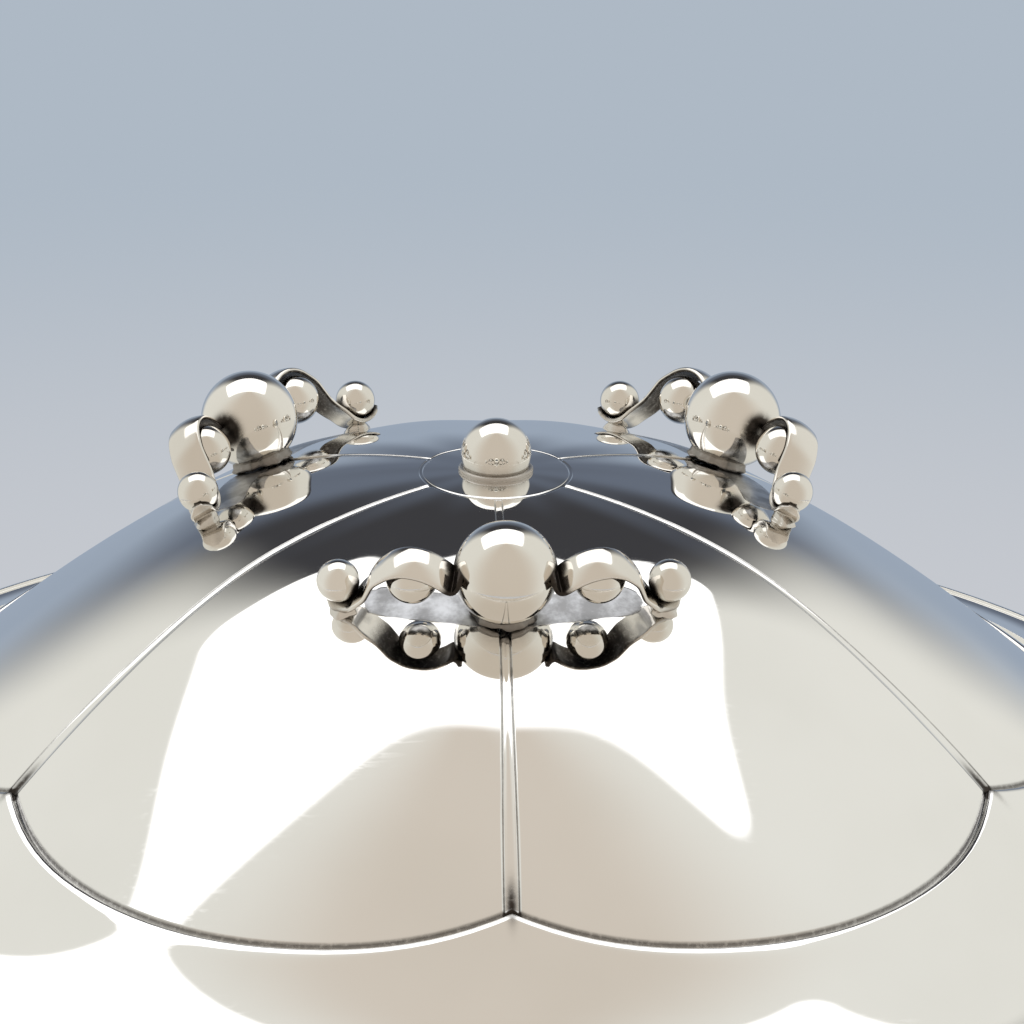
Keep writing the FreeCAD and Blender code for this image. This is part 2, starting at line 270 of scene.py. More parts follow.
# ---------------------------------------------------------------- mesh building
def mesh_object(name, points, faces, material, normals=None, values=None):
    mesh = bpy.data.meshes.new(name)
    mesh.from_pydata((np.asarray(points) * MM).tolist(), [], faces)
    outward = bmesh.new()
    outward.from_mesh(mesh)
    bmesh.ops.recalc_face_normals(outward, faces=outward.faces)
    outward.to_mesh(mesh)
    outward.free()
    mesh.polygons.foreach_set("use_smooth", [True] * len(mesh.polygons))
    mesh.materials.append(material)
    for label, data in (values or {}).items():
        layer = mesh.attributes.new(label, "FLOAT", "POINT")
        layer.data.foreach_set("value", np.asarray(data, np.float32))
    if normals is not None:
        mesh.normals_split_custom_set_from_vertices(np.asarray(normals).tolist())
    thing = bpy.data.objects.new(name, mesh)
    bpy.context.scene.collection.objects.link(thing)
    return thing


def ring_faces(rows, columns, start=0, wrap_rows=False):
    """Quads between rings of points; the columns go all the way round."""
    faces = []
    for i in range(rows if wrap_rows else rows - 1):
        low = start + i * columns
        high = start + (i + 1) % rows * columns
        for j in range(columns):
            k = (j + 1) % columns
            faces.append((low + j, low + k, high + k, high + j))
    return faces


def capped_grid(grid, first=None, last=None):
    """Points and faces of a stack of rings, each end closed with a fan if it has a pole point."""
    rows, columns = grid.shape[:2]
    points = grid.reshape(-1, 3).tolist()
    faces = ring_faces(rows, columns)
    if first is not None:
        points.append(first)
        pole = len(points) - 1
        faces += [(pole, (j + 1) % columns, j) for j in range(columns)]
    if last is not None:
        points.append(last)
        pole = len(points) - 1
        base = (rows - 1) * columns
        faces += [(pole, base + j, base + (j + 1) % columns) for j in range(columns)]
    return np.array(points), faces


ON_AXIS = 1e-6


def revolved(name, profile, turn, material, closed=True):
    """Turned piece. A profile point on the axis becomes a pole; closed joins the profile's ends."""
    profile = [tuple(p) for p in profile]
    first = last = None
    if profile[0][0] < ON_AXIS:
        first = (0.0, 0.0, profile[0][1])
        profile = profile[1:]
    if profile[-1][0] < ON_AXIS:
        last = (0.0, 0.0, profile[-1][1])
        profile = profile[:-1]
    radii = np.array([p[0] for p in profile])[:, None]
    heights = np.repeat([[p[1]] for p in profile], len(turn), axis=1)
    grid = np.stack([radii * np.cos(turn), radii * np.sin(turn), heights], -1)
    if closed and first is None and last is None:
        points = grid.reshape(-1, 3)
        faces = ring_faces(len(profile), len(turn), wrap_rows=True)
    else:
        points, faces = capped_grid(grid, first, last)
    return mesh_object(name, points, faces, material)


def spaced(points, step):
    """A polyline's points at an even spacing."""
    points = np.asarray(points, float)
    along = np.concatenate([[0], np.cumsum(np.linalg.norm(np.diff(points, axis=0), axis=1))])
    at = np.linspace(0, along[-1], max(2, int(along[-1] / step) + 1))
    return np.stack([np.interp(at, along, points[:, i]) for i in range(points.shape[1])], -1)


CURVE_STEPS = 12
CURVE_PASSES = 3


def flowing(points, step):
    """Smooth curve close to the points, sampled at an even spacing."""
    p = np.asarray(points, float)
    p = np.vstack([2 * p[0] - p[1], p, 2 * p[-1] - p[-2]])
    out = []
    for a, b, c, d in zip(p[:-3], p[1:-2], p[2:-1], p[3:]):
        for t in np.linspace(0, 1, CURVE_STEPS, endpoint=False):
            out.append(0.5 * (2 * b + (c - a) * t + (2 * a - 5 * b + 4 * c - d) * t * t
                              + (3 * b - a - 3 * c + d) * t ** 3))
    out.append(p[-2])
    line = spaced(out, step)
    for _ in range(CURVE_PASSES):
        line[1:-1] = 0.25 * line[:-2] + 0.5 * line[1:-1] + 0.25 * line[2:]
    return line


DRIFT_WAVES = 7


def drift(points, length, size, seed):
    """Slow hand-made unevenness: a few waves in fixed pseudo-random directions."""
    rng = np.random.default_rng(seed)
    out = np.zeros(len(points))
    for _ in range(DRIFT_WAVES):
        way = rng.normal(size=3)
        way /= np.linalg.norm(way)
        wave = length * rng.uniform(0.7, 1.6)
        out += np.cos(points @ way * 2 * math.pi / wave + rng.uniform(0, 2 * math.pi))
    return out * size / math.sqrt(DRIFT_WAVES)


# ---------------------------------------------------------------- lid surface
def dome_z(r):
    q = (r / DOME_SPAN) ** 2
    return APEX_Z - sum(share * q ** (i + 1) for i, share in enumerate(DOME_POWERS))


HALF_PETAL = math.pi / PETALS
LOBE_CENTRE = (LOBE_RADIUS ** 2 - CUSP_RADIUS ** 2) / (2 * (LOBE_RADIUS - CUSP_RADIUS * math.cos(HALF_PETAL)))
LOBE_ARC = LOBE_RADIUS - LOBE_CENTRE


def border_r(off):
    """Radius of the scalloped border at an angle from a petal's middle."""
    return LOBE_CENTRE * np.cos(off) + np.sqrt(LOBE_ARC ** 2 - (LOBE_CENTRE * np.sin(off)) ** 2)


def step(x, low, high):
    t = np.clip((x - low) / (high - low), 0, 1)
    return t * t * (3 - 2 * t)


GROOVE_FLOOR = 0.34         # half width of a radial groove's floor
GROOVE_SIDE = 0.26          # and the reach of its rounded edge
GROOVE_DEPTH = 0.3
GROOVE_BELLY = 0.2          # the floor is a little convex
GROOVE_WIDTHS = (0.62, 0.18, 0.45)      # width at the ring, and what two stretches further out add to it
WIDEN_NEAR = (10.0, 19.0)
WIDEN_FAR = (26.0, 43.0)
GROOVE_START = 0.3          # a groove runs in over this length at the ring
GROOVE_END = (-0.15, 0.35)  # and runs out here, inside the border
ROUND_HALF = 0.52           # grooves that carry no ornament are rounder and shallower
ROUND_DEPTH = 0.12
KIND_EDGE = 0.4             # how sharply one kind of groove gives way to the other
FAINT = 0.75                # share of the depth that the other kind lacks between ring and ornament
FAINT_REACH = (14.0, 18.0)
RING_HALF = 0.21
RING_DEPTH = 0.07
BEVEL = 0.22                # reach of the petal edge's slope
PETAL_STEP = 0.32
ROLL = 0.95                 # the shoulder rises out of the border's groove in a roll
ROLL_START = 0.18
ROLL_REACH = 0.26
FALL_POWER = 1.65           # then falls to the brim, steeper at first
FALL_STRAIGHT = -0.13
PILLOW = 0.10               # the petals curl down next to the grooves
PILLOW_REACH = 3.0
PILLOW_RISE = (8.0, 25.0)
DIP = 0.30                  # half the depth of a wide, shallow dip between the ornaments and the border
DIP_START = 20.0
DIP_LENGTH = 29.0
BULGE_SPAN = 45.0
BULGE_POWERS = (2, 4, 7)    # raised middles of the petals, by powers of the radius
BULGE = (0.08, 0.16, 0.24)
SHELVES = (-0.49, 0.99, -0.55)          # and a second swell, twice as often round the lid


def groove_scale(r):
    """Width of the radial grooves at a radius, as a share of their named widths."""
    start, near, far = GROOVE_WIDTHS
    return start + near * step(r, *WIDEN_NEAR) + far * step(r, *WIDEN_FAR)


def from_petal(turn):
    """Angle from a petal's middle, for an angle measured from the front groove."""
    return np.mod(turn, 2 * HALF_PETAL) - HALF_PETAL


def in_petal(r, azimuth):
    """Angle from the petal's middle, distance beyond the scalloped border, distance from a groove."""
    off = from_petal(azimuth - math.radians(FRONT))
    to_edge = np.hypot(r * np.cos(off) - LOBE_CENTRE, r * np.sin(off)) - LOBE_ARC
    to_edge = np.where(r < LOBE_CENTRE, -LOBE_ARC, to_edge)
    return off, to_edge, np.abs(r * np.sin(HALF_PETAL - np.abs(off)))


def petal_z(r, off):
    """Height of the dome with its gently raised petals, before chasing."""
    around = np.clip(r - DIP_START, 0, None) * 2 * math.pi / DIP_LENGTH
    z = dome_z(r) - DIP * (1 - np.cos(around))
    for power, bulge, shelf in zip(BULGE_POWERS, BULGE, SHELVES):
        z = z + (r / BULGE_SPAN) ** power * (bulge * np.cos(PETALS * off) + shelf * np.cos(2 * PETALS * off))
    return z


def lid_top(r, azimuth):
    """Height of the lid's outer face, with its grooves, ring and scalloped border."""
    off, to_edge, to_groove = in_petal(r, azimuth)
    border = border_r(off)
    inside = petal_z(r, off) - PILLOW * np.exp(-to_groove / PILLOW_REACH) * step(r, *PILLOW_RISE)
    scale = groove_scale(r)
    cut = 1 - step(to_groove, GROOVE_FLOOR * scale, (GROOVE_FLOOR + GROOVE_SIDE) * scale)
    belly = GROOVE_BELLY * np.clip(1 - (to_groove / (GROOVE_FLOOR * scale)) ** 2, 0, 1)
    round_cut = np.clip(1 - (to_groove / (ROUND_HALF * scale)) ** 2, 0, 1)
    carries = step(np.cos(len(ORNAMENTS) * (azimuth - math.radians(FRONT))), -KIND_EDGE, KIND_EDGE)
    deep = GROOVE_DEPTH * (cut - belly) * carries + ROUND_DEPTH * round_cut * (1 - carries)
    reach = step(r, RING_RADIUS, RING_RADIUS + GROOVE_START) * step(-to_edge, *GROOVE_END)
    reach = reach * (1 - FAINT * carries * (1 - step(r, *FAINT_REACH)))
    ring = 1 - step(np.abs(r - RING_RADIUS), RING_HALF * 0.3, RING_HALF)
    inside = inside - reach * deep - RING_DEPTH * ring - PETAL_STEP * step(to_edge, -BEVEL, 0.0)
    foot = petal_z(border, off) - PETAL_STEP
    out = np.clip(to_edge, 0, None)
    left = 1 - np.clip((r - border) / (LID_RADIUS - border), 0, 1)
    fall = (1 - FALL_STRAIGHT) * left ** FALL_POWER + FALL_STRAIGHT * left
    roll = ROLL * left * np.exp(-out ** 2 / (ROLL_REACH * (out + ROLL_START)))
    outside = BRIM_Z + (foot + ROLL - BRIM_Z) * fall - roll
    return np.where(to_edge < 0, inside, outside)


# Offsets of the mesh's lines from the middle of a groove and from the border, close where the shape turns.
GROOVE_OFFSETS = (0.0, 0.1, 0.2, 0.27, 0.33, 0.39, 0.45, 0.51, 0.58, 0.66, 0.76, 0.9, 1.1, 1.4)
MIDDLE_COLUMNS = 30
EDGE_OFFSETS = (
    -1.4, -1.0, -0.75, -0.6, -0.5, -0.42, -0.34, -0.26, -0.18, -0.12, -0.06, 0.0, 0.06, 0.12, 0.2,
    0.28, 0.36, 0.46, 0.58, 0.72, 0.9, 1.1, 1.35, 1.65, 2.0, 2.4, 2.9,
)
RING_OFFSETS = (
    -5.2, -4.4, -3.6, -2.8, -2.0, -1.4, -0.9, -0.55, -0.35, -0.22, -0.14, -0.07, 0.0, 0.07, 0.14,
    0.22, 0.35, 0.6,
)
PETAL_RINGS = 80
BRIM_RINGS = 15
UNDER_RINGS = 34
RIM_ROUND = 0.35


def column_angles(r):
    """Azimuths of the mesh's columns on a ring of radius r, measured from the front groove."""
    near = np.array(GROOVE_OFFSETS) / r
    limit = near[-1]
    middle = np.linspace(limit, 2 * HALF_PETAL - limit, MIDDLE_COLUMNS + 1)[1:-1]
    sector = np.concatenate([near, middle, 2 * HALF_PETAL - near[::-1]])[:-1]
    return np.concatenate([sector + 2 * HALF_PETAL * i for i in range(PETALS)])


def lid_rings():
    """Radius and azimuth of every point of the outer face, ring by ring."""
    first = RING_RADIUS + RING_OFFSETS[-1]
    start = column_angles(first)
    rings = [(np.full(len(start), RING_RADIUS + offset), start) for offset in RING_OFFSETS]
    for share in np.linspace(0, 1, PETAL_RINGS)[1:]:
        angles = column_angles(first + (CUSP_RADIUS + EDGE_OFFSETS[0] - first) * share)
        border = border_r(from_petal(angles))
        rings.append((first + (border + EDGE_OFFSETS[0] - first) * share, angles))
    angles = column_angles(CUSP_RADIUS)
    border = border_r(from_petal(angles))
    for offset in EDGE_OFFSETS[1:]:
        rings.append((border + offset, angles))
    last = border + EDGE_OFFSETS[-1]
    for share in np.linspace(0, 1, BRIM_RINGS)[1:]:
        rings.append((last + (LID_RADIUS - RIM_ROUND - last) * share, angles))
    return rings


NORMAL_STEP = 0.03


def lid_normals(r, azimuth):
    """Normals of the outer face from small steps of its height."""
    h = NORMAL_STEP
    x, y = r * np.cos(azimuth), r * np.sin(azimuth)

    def height(px, py):
        return lid_face(np.hypot(px, py), np.arctan2(py, px))

    dx = (height(x + h, y) - height(x - h, y)) / (2 * h)
    dy = (height(x, y + h) - height(x, y - h)) / (2 * h)
    normal = np.stack([-dx, -dy, np.ones_like(dx)], -1)
    return normal / np.linalg.norm(normal, axis=-1, keepdims=True)


HAMMER_LENGTH = 13.0
HAMMER_SIZE = 0.006
HAMMER_START = (4.0, 12.0)
HAMMER_SEED = 11


def lid_face(r, azimuth):
    """Outer face with the faint unevenness of hammered work, which starts outside the ring."""
    z = lid_top(r, azimuth)
    spots = np.stack([r * np.cos(azimuth), r * np.sin(azimuth), np.zeros_like(r)], -1)
    uneven = drift(spots.reshape(-1, 3), HAMMER_LENGTH, HAMMER_SIZE, HAMMER_SEED)
    return z + uneven.reshape(np.shape(r)) * step(r, *HAMMER_START)


SOLDER_ORBIT = 21.6
SOLDER_ANGLE = 25.0
SOLDER_EDGE = (0.9, 2.1)
FAR_AWAY = 99.0


def solder_reach(x, y):
    """Distance in plan from the middle line of the nearest patch of old solder."""
    r = np.hypot(x, y)
    best = np.full(np.shape(r), FAR_AWAY)
    for azimuth in ORNAMENTS.values():
        turn = np.mod(np.degrees(np.arctan2(y, x)) - azimuth + 180, 360) - 180
        limit = np.clip(np.abs(turn) - SOLDER_ANGLE, 0, None)
        best = np.minimum(best, np.hypot(r - SOLDER_ORBIT, np.radians(limit) * r))
    return best


INNER_CURVE = np.polyfit(*zip(*SHOULDER_INSIDE), 3)
INNER_BLEND = (38.0, SHOULDER_INSIDE[0][0])
INNER_DROP = 1.5 * SHEET                # the inner face keeps clear of the chased lines


def inner_z(r):
    """Height of the lid's inner face, the same all the way round."""
    blend = step(r, *INNER_BLEND)
    return (1 - blend) * (dome_z(r) - INNER_DROP) + blend * np.polyval(INNER_CURVE, r)


WALL_TARNISH = 0.5
CUSP_TARNISH = 0.8
EDGE_TARNISH = 0.6
RING_TARNISH = 0.25


def bell(value, width):
    return np.exp(-(value / width) ** 2)


def lid_marks(points, outer_count):
    """Tarnish in the chased lines and old solder under the ornaments, on the outer face only."""
    x, y = points[:, 0], points[:, 1]
    r = np.hypot(x, y)
    top = np.zeros(len(points))
    top[:outer_count] = 1.0
    off, to_edge, to_groove = in_petal(r, np.arctan2(y, x))
    wall = (GROOVE_FLOOR + 0.45 * GROOVE_SIDE) * groove_scale(r)
    tarnish_and_shade = WALL_TARNISH * bell(to_groove - wall, 0.07) * step(r, 6.2, 7.0) * (to_edge < 0.1)
    tarnish_and_shade = tarnish_and_shade + CUSP_TARNISH * bell(r - CUSP_RADIUS + 0.4, 1.6) * bell(to_groove, 0.45)
    tarnish_and_shade = tarnish_and_shade + EDGE_TARNISH * bell(to_edge + 0.10, 0.11)
    tarnish_and_shade = tarnish_and_shade + RING_TARNISH * bell(r - RING_RADIUS, 0.12)
    solder = 1 - step(solder_reach(x, y), *SOLDER_EDGE)
    return {"tarnish_and_shade": np.clip(tarnish_and_shade, 0, 1) * top, "solder": solder * top}


def make_lid(material):
    """The outer face ring by ring, then round the edge and back along the inner face."""
    rings = lid_rings()
    radii = np.array([r for r, _ in rings])
    angles = np.array([a for _, a in rings]) + math.radians(FRONT)
    outer = np.stack([radii * np.cos(angles), radii * np.sin(angles), lid_face(radii, angles)], -1)
    rows = list(outer)
    sides = list(lid_normals(radii, angles))
    rim_angles = angles[-1]
    rim_z = lid_top(np.full(1, LID_RADIUS), np.zeros(1))[0]
    around = np.stack([np.cos(rim_angles), np.sin(rim_angles), np.zeros_like(rim_angles)], -1)
    down = np.array([0.0, 0.0, -1.0])

    def add_row(radius, z, outward, fall):
        rows.append(around * radius + np.array([0, 0, z]))
        normal = around * outward + down * fall
        sides.append(normal / np.linalg.norm(normal, axis=1, keepdims=True))

    add_row(LID_RADIUS - 0.12, rim_z + 0.02, 0.8, -0.6)
    add_row(LID_RADIUS, rim_z - 0.15, 1.0, 0.0)
    add_row(LID_RADIUS, LID_EDGE_Z + 0.15, 1.0, 0.0)
    add_row(LID_RADIUS - 0.15, LID_EDGE_Z, 0.2, 1.0)
    add_row(LID_RADIUS - SHEET + 0.15, LID_EDGE_Z, -0.2, 1.0)
    add_row(LID_RADIUS - SHEET, LID_EDGE_Z + 0.15, -1.0, 0.3)
    for r in np.linspace(LID_RADIUS - SHEET, 2, UNDER_RINGS):
        add_row(r, inner_z(r), (inner_z(r + 0.1) - inner_z(r - 0.1)) / 0.2, 1.0)
    poles = [(0.0, 0.0, float(dome_z(0.0))), (0.0, 0.0, float(inner_z(0.0)))]
    points, faces = capped_grid(np.array(rows), *poles)
    normals = np.vstack([np.array(sides).reshape(-1, 3), [[0, 0, 1], [0, 0, -1]]])
    lid = mesh_object("lid_dome", points, faces, material, normals, lid_marks(points, radii.size))
    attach(lid, "lid")
    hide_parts("lid_shell")


# ---------------------------------------------------------------- silver
# Scales of noise are per metre. The pairs of tones are the darkest and the lightest of each coat: the
# tarnished one, which also paints shade in gaps, and the solder.
CLOUD_SCALE = 55.0
GRAIN_SCALE = 1400.0
SPECKLE_SCALE = 2400.0
MOTTLE_SCALE = 380.0
LUMP_SCALE = 700.0
WAVE_SCALE = 230.0
PATCH_SCALE = 90.0
# Tarnished tones that also paint the shade in the gaps of balls and straps.
TARNISH_AND_SHADE_TONES = ((0.014, 0.012, 0.011), (0.08, 0.067, 0.058))
TARNISH_AND_SHADE_FULL = 0.80
TARNISH_ROUGHNESS = 0.38
SOLDER_TONES = ((0.10, 0.103, 0.115), (0.44, 0.455, 0.49))
SOLDER_COVER = 0.8
SOLDER_ROUGHNESS = 0.30
PIT_TONE = (0.03, 0.025, 0.02)
PIT_SCALE = 520.0
PIT_SIZE = 0.13
PIT_COVER = 0.85
SCRATCH_SCALES = (90.0, 2600.0, 2600.0)
SCRATCH_TURNS = ((0.3, 0.2, 0.5), (1.1, 0.7, 2.2), (2.3, 1.4, 0.9), (0.6, 2.1, 1.5))
SCRATCH_ROUGHNESS = 0.05
SCRATCH_BUMP = 0.035
SCRATCH_DEPTH = 0.003
SURFACE_DEPTH = 0.05


def silver(name, base, shade, rough, scratch=1.0, pits=0.0, wave=0.0):
    """Polished silver: slow changes of tone, fine wear lines, and solder and darkening where a mesh says so;
    the darkening is tarnished hollows and painted shade in gaps.
    """
    material = bpy.data.materials.new(name)
    material.use_nodes = True
    material.node_tree.nodes.clear()
    g = Graph(material.node_tree)
    place = g.node("ShaderNodeTexCoord").outputs["Object"]
    cloud = g.noise(place, CLOUD_SCALE, 3.0)
    grain = g.noise(place, GRAIN_SCALE, 2.0)
    colour = g.mix(g.ramp(cloud, 0.35, 0.7), base, shade)
    speckle = g.noise(place, SPECKLE_SCALE, 3.0, 0.6)
    # The darkening from the mesh attribute is tarnished hollows on the lid, a darker inner face on the
    # straps, and painted shade in the gaps of balls and straps.
    tarnish_and_shade = g.math("MULTIPLY", g.attribute("tarnish_and_shade"), g.ramp(speckle, 0.2, 0.55, (0.72, 1.0)))
    tarnish_and_shade = g.ramp(tarnish_and_shade, 0.0, TARNISH_AND_SHADE_FULL)
    colour = g.mix(tarnish_and_shade, colour, g.mix(grain, *TARNISH_AND_SHADE_TONES))
    mottle = g.noise(place, MOTTLE_SCALE, 5.0, 0.62)
    solder = g.ramp(g.math("ADD", g.attribute("solder"), g.math("MULTIPLY", mottle, 0.5)), 0.62, 0.80)
    dull = g.mix(g.ramp(mottle, 0.38, 0.64), *SOLDER_TONES)
    colour = g.mix(g.math("MULTIPLY", solder, SOLDER_COVER), colour, dull)
    if pits:
        cells = g.node("ShaderNodeTexVoronoi", {"Vector": place, "Scale": PIT_SCALE})
        pick = g.node("ShaderNodeSeparateColor", {0: cells.outputs["Color"]}).outputs[0]
        size = g.ramp(pick, 1.0 - pits, 1.0, (0.0, PIT_SIZE))
        spot = g.math("LESS_THAN", cells.outputs["Distance"], size)
        colour = g.mix(g.math("MULTIPLY", spot, PIT_COVER), colour, PIT_TONE)
    lines = None
    for turn in SCRATCH_TURNS:
        long_way = g.stretch(place, SCRATCH_SCALES, turn)
        streak = g.ramp(g.noise(long_way, 1.0, 0.0), 0.70, 0.80)
        lines = streak if lines is None else g.math("MAXIMUM", lines, streak)
    patches = g.ramp(g.noise(place, PATCH_SCALE, 2.0), 0.42, 0.68)
    lines = g.math("MULTIPLY", lines, patches)
    roughness = g.blend(cloud, rough * 0.7, rough * 1.5)
    roughness = g.math("ADD", roughness, g.math("MULTIPLY", lines, SCRATCH_ROUGHNESS * scratch))
    roughness = g.blend(tarnish_and_shade, roughness, TARNISH_ROUGHNESS)
    roughness = g.blend(solder, roughness, SOLDER_ROUGHNESS)
    normal = g.bump(lines, SCRATCH_BUMP * scratch, SCRATCH_DEPTH)
    rough_height = g.noise(place, LUMP_SCALE, 4.0, 0.6)
    uneven = g.math("ADD", solder, g.math("MULTIPLY", tarnish_and_shade, 0.4))
    normal = g.bump(g.math("MULTIPLY", rough_height, uneven), 0.45, SURFACE_DEPTH, normal)
    if wave:
        normal = g.bump(g.noise(place, WAVE_SCALE, 1.0), wave, SURFACE_DEPTH, normal)
    shader = g.node("ShaderNodeBsdfPrincipled", {
        "Base Color": colour, "Metallic": 1.0, "Roughness": roughness, "Normal": normal,
    })
    g.node("ShaderNodeOutputMaterial", {"Surface": shader.outputs[0]})
    return material


# ---------------------------------------------------------------- balls, straps and collars
def seat(thing, node, body="lid"):
    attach(thing, body)
    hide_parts(node)
    return thing


def ball_centre(node, radius, toward=None):
    """Centre of a ball whose solid may be trimmed on the side that faces a neighbour."""
    low, high = (np.array(corner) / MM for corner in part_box(node))
    centre = (low + high) / 2
    centre[2] = high[2] - radius
    if toward is not None:
        for axis in (0, 1):
            centre[axis] = low[axis] + radius if toward[axis] > centre[axis] else high[axis] - radius
    return centre


# Painted shade where a piece sits on the dome: full from GROUND_GAP inside it, fading out upwards over
# GROUND_FADE.
GROUND_GAP = 0.2
GROUND_FADE = 0.7
CREVICE_SHADE = 0.95
BALL_CREVICE = 0.72         # how far painted shade reaches out of a gap, on balls and on straps
STRAP_CREVICE = 0.34


def on_dome(points):
    return dome_z(np.hypot(points[:, 0], points[:, 1]))


def gap_shade(points, centres, radii, own, reach):
    """Painted shade in gaps: how deep in a gap each point lies, 1 where it touches a neighbouring ball or the
    dome.
    """
    gap = points[:, 2] - on_dome(points) + GROUND_GAP
    value = np.exp(-np.clip(gap, 0, None) / GROUND_FADE)
    for i, (centre, radius) in enumerate(zip(centres, radii)):
        if i == own:
            continue
        away = np.abs(np.linalg.norm(points - centre, axis=1) - radius)
        value = np.maximum(value, np.exp(-(away / reach) ** 2))
    return value


DENT_LENGTH = 1.5           # of the ball's radius, as the next two are
DENT_SIZE = 0.0022
DENT_LIMIT = 0.006
BALL_SINK = 0.6             # balls and collars are cut off this far inside the dome
COLLAR_SINK = 0.5


def make_ball(name, centre, radius, material, balls, own, seed, columns=96):
    """Cast ball, a little out of true."""
    rows = columns // 2
    polar = np.linspace(0, math.pi, rows + 1)[1:-1]
    turn = np.linspace(0, 2 * math.pi, columns, endpoint=False)
    p, t = np.meshgrid(polar, turn, indexing="ij")
    way = np.stack([np.sin(p) * np.cos(t), np.sin(p) * np.sin(t), np.cos(p)], -1)
    points, faces = capped_grid(way, (0.0, 0.0, 1.0), (0.0, 0.0, -1.0))
    dents = np.clip(drift(points, DENT_LENGTH, DENT_SIZE, seed), -DENT_LIMIT, 0.0)
    points = centre + points * (radius * (1 + dents))[:, None]
    points[:, 2] = np.maximum(points[:, 2], on_dome(points) - BALL_SINK)
    # The ball's darkening is only painted shade in its gaps with its neighbours and the dome.
    values = {"tarnish_and_shade": CREVICE_SHADE * gap_shade(points, *balls, own, BALL_CREVICE)}
    return mesh_object(name, points, faces, material, None, values)


def wrapper(side, middle):
    """Maps strap coordinates (along, up, down the slope) to the lid, following its circle."""
    tilt = math.radians(STRAP_TILT)
    start = math.atan2(middle[1], middle[0])
    orbit = math.hypot(middle[0], middle[1])

    def place(along, up, down):
        turn = start + side * along / orbit
        r = orbit + up * math.sin(tilt) + down * math.cos(tilt)
        z = middle[2] + up * math.cos(tilt) - down * math.sin(tilt)
        return np.stack([r * np.cos(turn), r * np.sin(turn), z], -1)

    return place


ARCH_RADIUS = 2.70
ARCH_ANGLES = (156, 144, 131, 117, 102, 87, 72, 57, 44)
ARCH_WIDE = 1.02
ARCH_LEAN = 0.07            # wider still on the large ball's side
ARCH_SHIFT = 0.22
# Along from the middle ball, and up from the lip or from the arch's top.
VALLEY = ((-3.92, 0.35), (-3.76, -0.12), (-3.56, -0.48), (-3.32, -0.64), (-3.12, -0.46))
BRIDGE = ((2.5, -1.6), (2.98, -2.6), (3.48, -3.65))
CURL_START = 212
STRAP_STEP = 0.14
STRAP_CORNER = 0.16
CROWN = 0.30                # the sheet is bent across its width too
STRAP_OUT = 0.45            # straps sit this far down the slope from the small balls
STRAP_HAND = (6.0, 0.010)   # length and size of a hand-made strap's unevenness
# The strap's inner face is darker by this share, fading out between these shares of its length.
INSIDE_DARKENING = 0.74
INSIDE_FADE = (0.64, 0.82)
# Painted shade on the strap where it dips into the valley by the large ball.
VALLEY_MIDDLE = -3.5
VALLEY_REACH = 0.72


def strap_line(end_along, end_up, lip, top, lean, curl_end):
    """Middle line of a strap: lip on the large ball, valley, arch, bridge, curl under the end ball."""
    points = [(along, lip + rise) for along, rise in VALLEY]
    for angle in np.radians(ARCH_ANGLES):
        wide = ARCH_WIDE + ARCH_LEAN * max(0.0, -math.cos(angle))
        along = ARCH_RADIUS * math.cos(angle) * wide - ARCH_SHIFT
        points.append((along, top + ARCH_RADIUS * (math.sin(angle) - 1)))
    points += [(along + lean, top + rise) for along, rise in BRIDGE]
    curl_radius = END_RADIUS + STRAP_THICKNESS / 2 + 0.02
    for angle in np.radians(np.linspace(CURL_START, curl_end, 9)):
        points.append((end_along + curl_radius * math.cos(angle), end_up + curl_radius * math.sin(angle)))
    return flowing(points, STRAP_STEP)


def strap_section(width, thickness):
    """Rounded cross-section of the ribbon as (across, out) pairs; out > 0 is the outer face."""
    w, t = width / 2, thickness / 2
    corner = STRAP_CORNER
    out = []
    for cx, cy, start in ((w - corner, t - corner, 0), (-w + corner, t - corner, 90),
                          (-w + corner, -t + corner, 180), (w - corner, -t + corner, 270)):
        for degrees in (0, 30, 60, 90):
            angle = math.radians(start + degrees)
            out.append((cx + corner * math.cos(angle), cy + corner * math.sin(angle)))
        if start in (0, 180):
            sign = 1 if start == 0 else -1
            for share in np.linspace(0.85, -0.85, 9):
                out.append((sign * share * (w - corner), sign * t))
    return np.array(out)


LUMP_RINGS = ((-0.8, 1.10), (0.0, 1.0), (0.25, 0.94), (0.5, 0.82), (0.75, 0.68), (1.0, 0.52))
LUMP_WAVES = ((0.09, 3, 1), (0.06, 5, 2), (0.03, 9, -1))    # size, number round the lump, shift per seed
LUMP_ALONG = 1.15
LUMP_DOWN = 1.05
LUMP_PLACE = (-0.1, 0.35)   # from under the end ball
LUMP_TARNISH = 0.22
LUMP_SOLDER = 0.10


def solder_lump(place, end_along, end_up, end_down, seed):
    """Rings of points of the solder that fills the gap between the curl and the dome."""
    turn = np.linspace(0, 2 * math.pi, 36, endpoint=False)
    wavy = 1
    for size, number, shift in LUMP_WAVES:
        wavy = wavy + size * np.cos(number * turn + shift * seed)
    rows = []
    for rise, spread in LUMP_RINGS:
        along = end_along + LUMP_PLACE[0] + LUMP_ALONG * spread * wavy * np.cos(turn)
        down = end_down + LUMP_PLACE[1] + LUMP_DOWN * spread * wavy * np.sin(turn)
        ring = place(along, end_up - END_RADIUS, down)
        ground = on_dome(ring)
        ceiling = place(along, end_up - END_RADIUS - STRAP_THICKNESS * 0.7, down)[:, 2]
        ring[:, 2] = ground + (ceiling - ground) * rise
        rows.append(ring)
    return np.array(rows)


def from_middle(middle, end, side):
    """An end ball's place in the strap coordinates of its middle ball."""
    orbit = math.hypot(middle[0], middle[1])
    turn = side * (math.atan2(end[1], end[0]) - math.atan2(middle[1], middle[0]))
    turn = (turn + math.pi) % (2 * math.pi) - math.pi
    tilt = math.radians(STRAP_TILT)
    out = math.hypot(end[0], end[1]) - orbit
    drop = end[2] - middle[2]
    up = out * math.sin(tilt) + drop * math.cos(tilt)
    down = out * math.cos(tilt) - drop * math.sin(tilt)
    return turn * orbit, up, down


